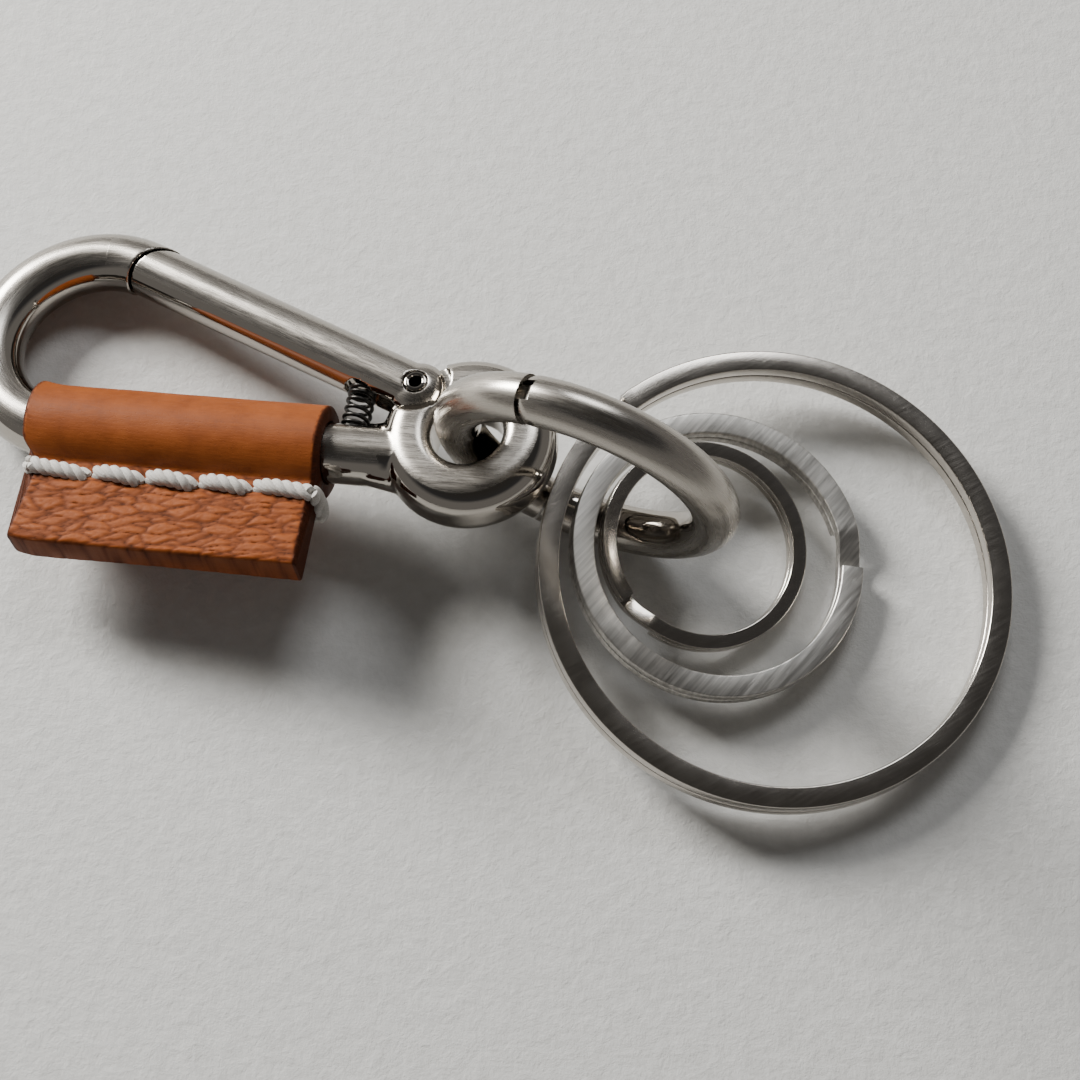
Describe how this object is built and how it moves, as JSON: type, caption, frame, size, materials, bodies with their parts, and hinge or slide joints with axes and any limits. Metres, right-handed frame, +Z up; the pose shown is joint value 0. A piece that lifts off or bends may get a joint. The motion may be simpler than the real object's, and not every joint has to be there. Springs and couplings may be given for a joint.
{
  "type": "carabiner key holder",
  "caption": "Key holder: steel snap hook with a sprung gate and a sewn leather grip, carrying a hinged round ring with flat split rings threaded on it.",
  "frame": {"origin": "centre of the whole object's footprint, on the surface it lies on", "axes": "+X from the hook towards the split rings, +Y across towards the gate, +Z up from the surface"},
  "size_m": [0.1004, 0.059, 0.0292],
  "materials": {
    "steel_satin": "satin brushed on top, polished on the flanks",
    "steel_polished": "polished stainless steel",
    "steel_brushed": "finely brushed",
    "spring_black": "black oiled spring wire",
    "leather_tan": "waxed grain, burnished edges",
    "thread_white": "twisted waxed thread"
  },
  "bodies": {
    "hook": {"hook_body": "steel_satin", "gate_rivet": "steel_polished", "gate_spring": "spring_black", "leather_wrap": "leather_tan", "seam_thread": "thread_white"},
    "gate": {"gate": "steel_satin"},
    "ring_fixed": {"ring_fixed_half": "steel_satin", "ring_hinge_pin": "steel_polished"},
    "ring_swing": {"ring_swing_half": "steel_satin"},
    "split_large": {"split_ring_large": "steel_polished"},
    "split_medium": {"split_ring_medium": "steel_brushed"},
    "split_small": {"split_ring_small": "steel_polished"}
  },
  "joints": [
    {"name": "gate_pivot", "type": "hinge", "parent": "hook", "child": "gate", "pos_m": [-0.00528, 0.00932, 0.00887], "axis": [-0.1147, 0.1015, 0.9882], "range_deg": [0, 18], "stiffness_Nm_per_rad": 0.02, "springref_deg": -20.05, "deforming": ["gate_spring"]},
    {"name": "ring_swivel", "type": "hinge", "parent": "hook", "child": "ring_fixed", "pos_m": [-0.00045, 0.00372, 0.01001], "axis": [0, 0, 1], "range_deg": [-60, 20]},
    {"name": "ring_open", "type": "hinge", "parent": "ring_fixed", "child": "ring_swing", "pos_m": [0.006, 0.00026, 0.02622], "axis": [-0.3742, -0.9261, -0.0489], "range_deg": [0, 40]},
    {"name": "split_large_lift", "type": "hinge", "parent": "ring_swing", "child": "split_large", "pos_m": [0.00792, 0.0001, 0.00647], "axis": [-0.3355, -0.9421, 0], "range_deg": [0, 50]},
    {"name": "split_medium_lift", "type": "hinge", "parent": "ring_swing", "child": "split_medium", "pos_m": [0.01052, -0.00095, 0.00599], "axis": [-0.309, -0.9511, 0], "range_deg": [0, 30]},
    {"name": "split_small_lift", "type": "hinge", "parent": "ring_swing", "child": "split_small", "pos_m": [0.01265, -0.00181, 0.00608], "axis": [-0.2586, -0.9626, -0.0809], "range_deg": [0, 20]}
  ]
}
